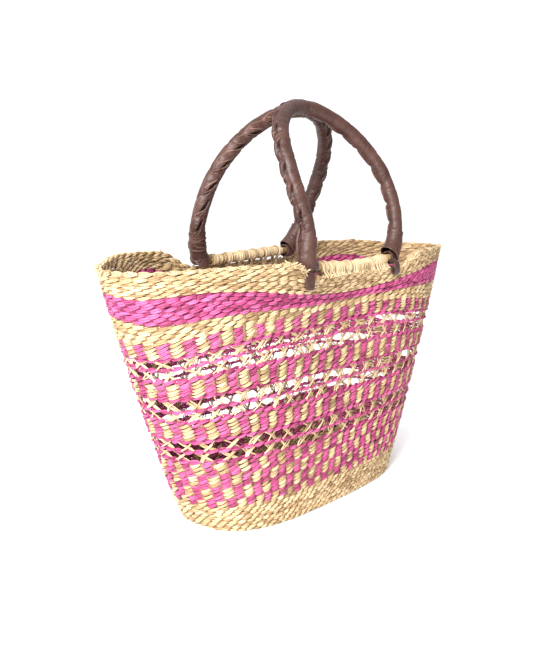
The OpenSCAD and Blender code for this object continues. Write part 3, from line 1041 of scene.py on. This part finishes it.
def make_wrap(name, shape, length, slots, creases):
    """The leather round a handle, with its lapped seam, slots and creases."""
    pile = Pile()
    q = np.linspace(FOOT_TUCK / length, 1 - FOOT_TUCK / length, 680)[:, None]
    theta = np.linspace(-np.pi, np.pi, 80, endpoint=False)[None] + 0 * q
    r, tone = wrap_relief(shape, q, theta, slots, length, creases)
    r = r + wobble(len(q), 0.16, 18, False)[:, None]
    q = q + 0 * theta
    strand = np.stack([q * length, HAND_RADIUS * np.cos(theta), HAND_RADIUS * np.sin(theta)], -1)
    sheet(pile, handle_grid(shape, q, theta, r), strand, tone)
    turning(pile, name, "wrap", "leather")


def make_core(name, shape):
    """Seven grass stems inside the leather: one straight and six twisted round it."""
    pile = Pile()
    q = np.linspace(0.02, 0.98, 160)
    centre, a, b = handle_frame(shape, q)
    for k in range(7):
        w = q * 30 + k * 2 * np.pi / 6
        off = 0.0 if k == 6 else 2.3
        p = centre + off * (np.cos(w)[:, None] * a + np.sin(w)[:, None] * b)
        pile.add(*tube(p, a, b, 1.3, 1.3))
    turning(pile, name, "core", "core", STRAW, "grass_core")


def make_thongs(name, shape, length, slots, creases):
    """Thongs that run over the seam from slot to slot. The front handle's right half shows none."""
    pile = Pile()
    for c, _, _ in slots:
        if name == "front" and c < length * 0.5:
            continue
        runs = [((c + 2.5, -0.05), (c + SLOT_PITCH * 0.55, 0.1 + float(flap_width(c + 10.0))))]
        if name == "back" and 0.42 < c / length < 0.86:
            runs.append(((c - 5.0, -0.85), (c + 7.0, 0.5)))
            runs.append(((c - 8.0, -0.2), (c + 4.0, 0.95)))
        for (mm0, turn0), (mm1, turn1) in runs:
            s = np.linspace(0, 1, 12)
            q = (mm0 + (mm1 - mm0) * s) / length
            theta = seam_angle(shape, q) + turn0 + (turn1 - turn0) * s
            r = wrap_relief(shape, q, theta, slots, length, creases)[0]
            r = np.maximum(r, HAND_RADIUS - 0.3) + 0.42 - 1.3 * (np.abs(2 * s - 1) ** 6)
            p = handle_grid(shape, q, theta, r)
            half_wide, tone = rng.uniform(0.4, 0.75), rng.uniform(0.58, 0.9)
            strip(pile, p, off_centre(shape, q, p), 0.3, half_wide, tone=tone, samples=20, **THONG)
    if name == "back":
        binding(pile, shape, length)
    turning(pile, name, "thongs", "lacing")


def make_feet(name, shape, length):
    """Boots and loops, which turn with the handle, and straps, which stay on the basket."""
    side = shape["side"]
    boots, loops, straps = Pile(), Pile(), Pile()
    for end, boot in enumerate(shape["boots"]):
        make_boot(boots, shape, length, end, boot)
        x0 = FOOT_X * (1 - 2 * end)
        loop_ring(loops, side, x0 + shape["bend"][end][0], 6.2 if end else 5.2)
    if name == "front":
        side_tab(loops, side)
        split_thong(boots, shape, length)
        over_rim_strap(straps, side, -FOOT_X - 14.5)
        folded_strap(straps, side, FOOT_X - 10.0)
    else:
        for x0 in (-FOOT_X, FOOT_X):
            plain_strap(straps, side, x0)
    turning(boots, name, "boots", "cuffs")
    turning(loops, name, "loops", "loops")
    straps.make(f"{name}_straps", LEATHER, "leather", [f"{name}_strap_tails"])


def make_handle(name):
    shape = HANDLES[name]
    length = path_length(handle_line(shape, np.linspace(0, 1, 400)))[-1]
    slots = [((k + 0.5) * SLOT_PITCH + vary(0.8), 0.34 + vary(0.08), rng.uniform(0.8, 1.15))
             for k in range(1, int(length / SLOT_PITCH) - 1)]
    creases = [(rng.uniform(0, length), rng.uniform(-np.pi, np.pi), rng.uniform(0.15, 0.6),
                rng.uniform(0.8, 2.2), rng.uniform(0.4, 1.1)) for _ in range(CREASE_COUNT)]
    make_wrap(name, shape, length, slots, creases)
    make_core(name, shape)
    make_thongs(name, shape, length, slots, creases)
    make_feet(name, shape, length)


def at_foot(length, end, mm):
    """Place along the handle, mm above the foot: end 0 is the right foot, end 1 the left."""
    return 1 - mm / length if end else mm / length


def make_boot(pile, shape, length, end, boot):
    """Sleeve over the foot, open below and flared towards the middle of the bar."""
    rows, around = 40, 72
    f = np.linspace(0, 1, rows)[:, None]
    theta = np.linspace(-np.pi, np.pi, around, endpoint=False)[None]
    middle = 0.5 - 0.5 * np.cos(theta)
    inside = 0.5 - 0.5 * shape["side"] * np.sin(theta)
    low = boot["outer"] + (boot["inner"] - boot["outer"]) * middle - boot.get("inside", 0) * inside ** 2
    top = BOOT_TOP + wobble(around, 0.9, 9)[None]
    mm = top + (low - top) * f
    r = HAND_RADIUS + 0.75 + boot["flare"] * f ** 1.8 * (0.08 + 0.92 * middle ** 3)
    r = r + 0.5 * np.sin(theta * 3 + 1.2 * end) * f ** 2
    for _ in range(14):
        c, angle = rng.uniform(0.05, 0.95), rng.uniform(-np.pi, np.pi)
        e = signed(theta - angle)
        crease = bell(f - c - 0.06 * e, 0.045) * bell(e, 0.9)
        r = r - rng.uniform(0.1, 0.35) * crease
    inner_rows = slice(None, 8, -1)
    r = np.concatenate([r, r[inner_rows] - 1.0])
    mm = np.concatenate([mm, mm[inner_rows]])
    # the inside of the boot gets a lower tone: painted shade
    tone = np.concatenate([np.full(rows, 0.5), np.full(len(mm) - rows, 0.30)])
    tone[rows - 1] = 0.8
    q = at_foot(length, end, mm)
    th = theta + 0 * mm
    strand = np.stack([mm, r * np.cos(th), r * np.sin(th)], -1)
    sheet(pile, handle_grid(shape, q, th, r), strand, tone[:, None])


def loop_ring(pile, side, x0, half_wide):
    """Leather loop round the bar."""
    n = 60
    w = np.arange(n) * 2 * np.pi / n
    r = 5.4 + wobble(n, 0.08, 6)
    centre = side_point(side, x0, r * np.cos(w), r * np.sin(w))
    out = unit(centre - side_point(side, np.full(n, x0), 0.0, 0.0))
    a, b = tube_frame(centre, out, True)
    wide = half_wide + wobble(n, 0.3, 7)
    pile.add(*tube(centre, a, b, 0.75, wide, 24, True, tone=0.45, square=6.0))


def strap(pile, side, x0, path):
    """Flat strap end outside the rim."""
    strip(pile, bar_path(side, x0, path), (-0.4, side, 0.12), 0.7, 4.4, samples=24, **STRAP)


def over_rim_strap(pile, side, x0):
    """Strap end that comes over the rim."""
    out = -rim_reach(x0) - 3.4
    strap(pile, side, x0, [(4.6, -6.6, -2.2), (2.8, -7.9, -2.2), (0.9, out + 0.6, -3.2),
                           (0.1, out - 0.4, -6.8), (-0.3, out - 0.5, -11.5), (-0.9, out + 0.1, -16.5)])


def plain_strap(pile, side, x0):
    """Strap end that comes out through the weave below the rim."""
    out = -rim_reach(x0) - 3.4
    strap(pile, side, x0, [(0.3, out + 2.2, -9.8), (0.2, out - 0.1, -10.6), (-0.3, out - 0.4, -13.0),
                           (-0.9, out + 0.1, -17.5)])


def folded_strap(pile, side, x0):
    """Strap end folded back up on itself, with an open gap between its layers."""
    out = -rim_reach(x0 - 1.0) - 3.3
    path = [(1.0, -5.6, -7.2), (0.8, -7.4, -6.6), (0, out - 0.1, -9), (0, out - 0.6, -12.5),
            (0, out - 2.2, -13.8), (0, out - 3.6, -12), (0, out - 3.9, -8), (0, out - 3.0, -4.4),
            (0, out - 2.0, -1.8)]
    p = bar_path(side, x0, path)
    middle = bar_path(side, x0, [(0, out - 1.9, -7.5)])
    strip(pile, p, unit(p - middle), 0.65, 4.2, samples=36, **STRAP)


def side_tab(pile, side):
    """Short strap end round the bar, beside the front left foot."""
    w = np.radians(np.array([60.0, 20.0, -15.0, -45.0]))
    x0 = 2.5 - FOOT_X
    p = bar_path(side, x0, [(0, -6.6 * math.cos(v), 6.6 * math.sin(v)) for v in w])
    face = unit(p - bar_path(side, x0, [(0, 0, 0)]))
    strip(pile, p, face, 0.6, 2.6, sides=12, tone=0.5, samples=18, square=4.0)


def split_thong(pile, shape, length):
    """Thong that stands off the front left leg and lets light through behind it."""
    s = np.linspace(0, 1, 12)
    q = at_foot(length, 1, 38 - 31 * s)
    r = HAND_RADIUS + 0.6 + 3.4 * np.sin(np.pi * s) ** 1.3
    p = handle_grid(shape, q, np.radians(18 + 6 * s), r)
    strip(pile, p, off_centre(shape, q, p), 0.4, 1.3, sides=8, tone=0.7, samples=24, square=3.0)


def binding(pile, shape, length):
    """Thong bound four times round the back left boot."""
    w = np.linspace(0, 2 * np.pi, 40)
    for k in range(4):
        mm = 12 + 2.3 * k + (1.5 + 0.9 * k) * np.sin(w + 1.1 * k) + vary(0.5)
        q = at_foot(length, 1, mm)
        p = handle_grid(shape, q, w, np.full(40, HAND_RADIUS + 1.2))
        tone = rng.uniform(0.45, 0.7)
        strip(pile, p, off_centre(shape, q, p), 0.4, 0.95, tone=tone, samples=48, **THONG)


for name, bar in BARS.items():
    make_cane(name, bar)
    make_winding(name, bar)
    make_ties(name, bar)
for name in HANDLES:
    make_handle(name)


# ---- camera, light, floor ----
CAMERA_AZ = -52.4
CAMERA_EL = 9.31
CAMERA_ROLL = 0.73
CAMERA_DISTANCE = 831.6
CAMERA_LENS = 61.87
CAMERA_SHIFT = -26.27
CAMERA_AIM_Z = 149.38
KEY_PLACE = (-1.7, -0.55, 1.1)
KEY_AIM = (0, 0, 0.12)
KEY_SIZE = 0.8
KEY_WATTS = 98
# the sky is dimmer to the camera's right, away from the key light
SHADE_SIDE = (0.61, -0.79, 0.0)
SHADE_FROM = 0.3
SHADE_TO = 0.9
SKY = 1.25
SKY_SHADE = 0.4
FLOOR_HALF = 30.0


def make_camera():
    az, el, roll = (math.radians(v) for v in (CAMERA_AZ, CAMERA_EL, CAMERA_ROLL))
    right = Vector((math.cos(az), math.sin(az), 0))
    back = Vector((math.sin(az) * math.cos(el), -math.cos(az) * math.cos(el), math.sin(el)))
    up = back.cross(right)
    target = right * CAMERA_SHIFT + Vector((0, 0, CAMERA_AIM_Z))
    rolled_right = right * math.cos(roll) + up * math.sin(roll)
    rolled_up = up * math.cos(roll) - right * math.sin(roll)
    data = bpy.data.cameras.new("camera")
    data.sensor_fit = "HORIZONTAL"
    data.sensor_width = 36
    data.lens = CAMERA_LENS
    cam = new_object("camera", data)
    turn = Matrix((rolled_right, rolled_up, back)).transposed().to_4x4()
    cam.matrix_world = Matrix.Translation((target + back * CAMERA_DISTANCE) * MM) @ turn
    bpy.context.scene.camera = cam


def make_key():
    data = bpy.data.lights.new("key", "AREA")
    data.shape = "RECTANGLE"
    data.size = data.size_y = KEY_SIZE
    data.energy = KEY_WATTS
    lamp = new_object("key", data)
    lamp.location = KEY_PLACE
    lamp.rotation_mode = "QUATERNION"
    lamp.rotation_quaternion = (Vector(KEY_AIM) - Vector(KEY_PLACE)).to_track_quat("-Z", "Y")


def make_sky():
    m = Nodes(bpy.data.worlds.new("studio"), "Background")
    inputs = {0: m.place("Generated"), 1: SHADE_SIDE}
    side = m.new("VectorMath", inputs, operation="DOT_PRODUCT").outputs["Value"]
    strength = m.span(side, SHADE_FROM, SHADE_TO, SKY, SKY_SHADE)
    m.fill(m.shader, {"Color": (1, 1, 1, 1), "Strength": strength})
    bpy.context.scene.world = m.owner


def make_floor():
    mesh = bpy.data.meshes.new("floor")
    s = FLOOR_HALF
    mesh.from_pydata([(-s, -s, 0), (s, -s, 0), (s, s, 0), (-s, s, 0)], [], [(0, 1, 2, 3)])
    mesh.materials.append(floor_material("pale_floor"))
    new_object("floor", mesh)


make_camera()
make_sky()
make_key()
make_floor()
bpy.context.scene.view_settings.view_transform = "Standard"
